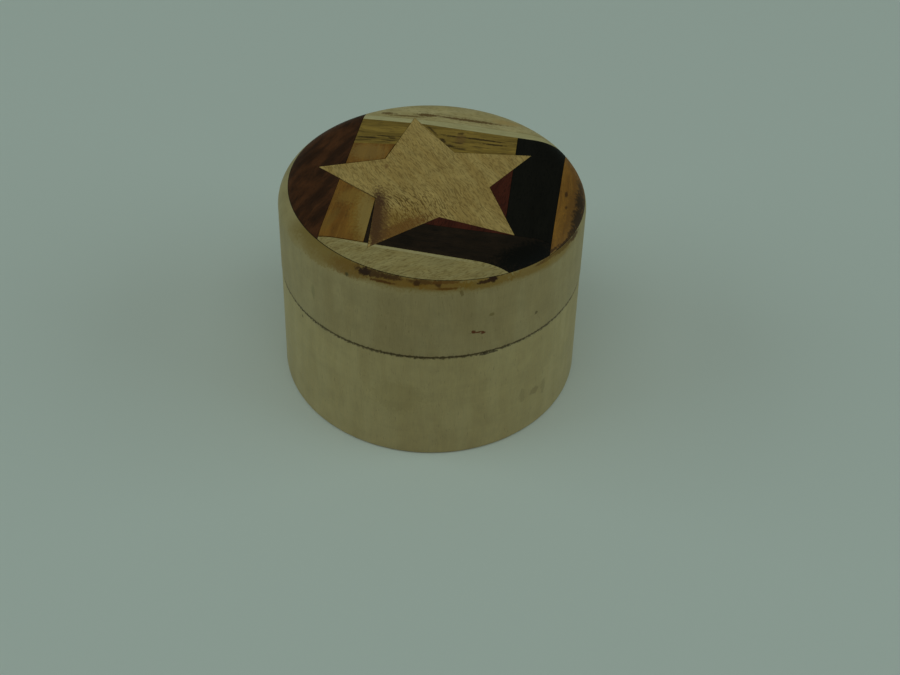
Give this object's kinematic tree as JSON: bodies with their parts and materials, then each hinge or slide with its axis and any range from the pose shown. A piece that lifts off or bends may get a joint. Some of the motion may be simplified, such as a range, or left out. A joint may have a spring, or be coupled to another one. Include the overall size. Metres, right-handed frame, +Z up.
{
  "type": "round turned wooden box with an inlaid lid",
  "caption": "Small round turned wooden box whose lid lifts off a raised neck, with a marquetry star and strips of other woods set in the lid's rounded top.",
  "frame": {"origin": "centre of the underside of the base, on the surface the box stands on", "axes": "+Z up along the turning axis; with the panel seen from above, +X to the right and +Y to the back, so the star's top point lies towards +Y"},
  "size_m": [0.0494, 0.0494, 0.035],
  "materials": {
    "pale_turned_wood": "turned, sanded and lightly waxed, satin",
    "star_wood": "sanded flush and waxed, satin, open pores",
    "dark_red_wood": "sanded flush and waxed, satin",
    "stringing_wood": "sanded flush and waxed, satin",
    "pale_segment_wood": "sanded flush and waxed, satin",
    "yellow_strip_wood": "sanded flush and waxed, satin, dark streaks",
    "orange_wood": "sanded flush and waxed, satin",
    "ebony": "sanded flush and waxed, satin",
    "red_wood": "sanded flush and waxed, satin",
    "dark_bar_wood": "sanded flush and waxed, satin"
  },
  "bodies": {
    "base": {"base_cup": "pale_turned_wood"},
    "lid": {"lid_shell": "pale_turned_wood", "star": "star_wood", "left_dark_segment": "dark_red_wood", "stringing_left": "stringing_wood", "stringing_right": "stringing_wood", "back_segment": "pale_segment_wood", "top_left_strip": "yellow_strip_wood", "upper_left_block": "orange_wood", "top_right_strip": "yellow_strip_wood", "ebony_strip": "ebony", "right_edge_segment": "orange_wood", "red_right_triangle": "red_wood", "red_bottom_sliver": "red_wood", "bottom_dark_bar": "dark_bar_wood", "front_segment": "pale_segment_wood", "lower_left_block": "orange_wood", "dark_wedge": "dark_bar_wood"}
  },
  "joints": [
    {"name": "lid_lift", "type": "slide", "parent": "base", "child": "lid", "axis": [0, 0, 1], "range_m": [0, 0.04]}
  ]
}
